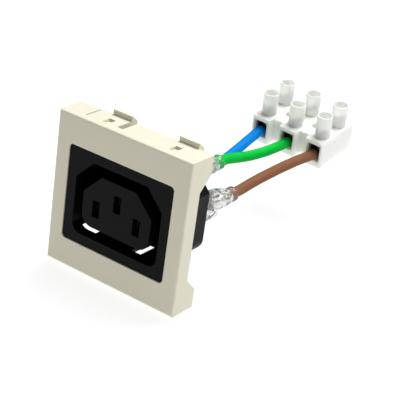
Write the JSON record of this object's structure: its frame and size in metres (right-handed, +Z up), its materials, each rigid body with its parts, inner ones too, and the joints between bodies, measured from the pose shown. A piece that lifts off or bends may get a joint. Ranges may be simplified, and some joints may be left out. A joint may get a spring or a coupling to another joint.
{
  "type": "pre-wired snap-in appliance power outlet",
  "caption": "Square snap-in bezel with a black earthed appliance outlet, wired by short coloured leads to a screw terminal strip behind it.",
  "frame": {"origin": "centre of the bezel's front face, in the plane of that face", "axes": "+X to the right of someone facing the front, +Y from the front face to the back, +Z up"},
  "size_m": [0.045, 0.099, 0.0478],
  "materials": {
    "bezel_plastic": "satin",
    "housing_plastic": "satin",
    "contact_brass": "satin",
    "tinned_brass": "satin",
    "boot_plastic": "gloss",
    "insulation_blue": "satin",
    "insulation_green": "satin",
    "insulation_brown": "satin",
    "copper": "satin",
    "strip_plastic": "satin",
    "screw_steel": "satin"
  },
  "bodies": {
    "module": {"bezel": "bezel_plastic", "outlet_housing": "housing_plastic", "rear_cover": "housing_plastic", "contact_neutral": "contact_brass", "contact_earth": "contact_brass", "contact_line": "contact_brass", "receptacle_blue": "tinned_brass", "receptacle_green": "tinned_brass", "receptacle_brown": "tinned_brass", "boot_blue": "boot_plastic", "boot_green": "boot_plastic", "boot_brown": "boot_plastic", "lead_blue": "insulation_blue", "lead_green": "insulation_green", "lead_brown": "insulation_brown", "conductor_blue": "copper", "conductor_green": "copper", "conductor_brown": "copper", "strip_body": "strip_plastic", "insert_blue": "contact_brass", "insert_green": "contact_brass", "insert_brown": "contact_brass"},
    "lead_screw_blue": {"lead_screw_blue": "screw_steel"},
    "lead_screw_green": {"lead_screw_green": "screw_steel"},
    "lead_screw_brown": {"lead_screw_brown": "screw_steel"},
    "supply_screw_blue": {"supply_screw_blue": "screw_steel"},
    "supply_screw_green": {"supply_screw_green": "screw_steel"},
    "supply_screw_brown": {"supply_screw_brown": "screw_steel"}
  },
  "joints": [
    {"name": "lead_screw_blue_travel", "type": "slide", "parent": "module", "child": "lead_screw_blue", "axis": [0.0523, -0.1562, 0.9863], "range_m": [0, 0.0025]},
    {"name": "lead_screw_green_travel", "type": "slide", "parent": "module", "child": "lead_screw_green", "axis": [0.0523, -0.1562, 0.9863], "range_m": [0, 0.0025]},
    {"name": "lead_screw_brown_travel", "type": "slide", "parent": "module", "child": "lead_screw_brown", "axis": [0.0523, -0.1562, 0.9863], "range_m": [0, 0.0025]},
    {"name": "supply_screw_blue_travel", "type": "slide", "parent": "module", "child": "supply_screw_blue", "axis": [0.0523, -0.1562, 0.9863], "range_m": [-0.0012, 0.0013]},
    {"name": "supply_screw_green_travel", "type": "slide", "parent": "module", "child": "supply_screw_green", "axis": [0.0523, -0.1562, 0.9863], "range_m": [-0.0012, 0.0013]},
    {"name": "supply_screw_brown_travel", "type": "slide", "parent": "module", "child": "supply_screw_brown", "axis": [0.0523, -0.1562, 0.9863], "range_m": [-0.0012, 0.0013]}
  ]
}
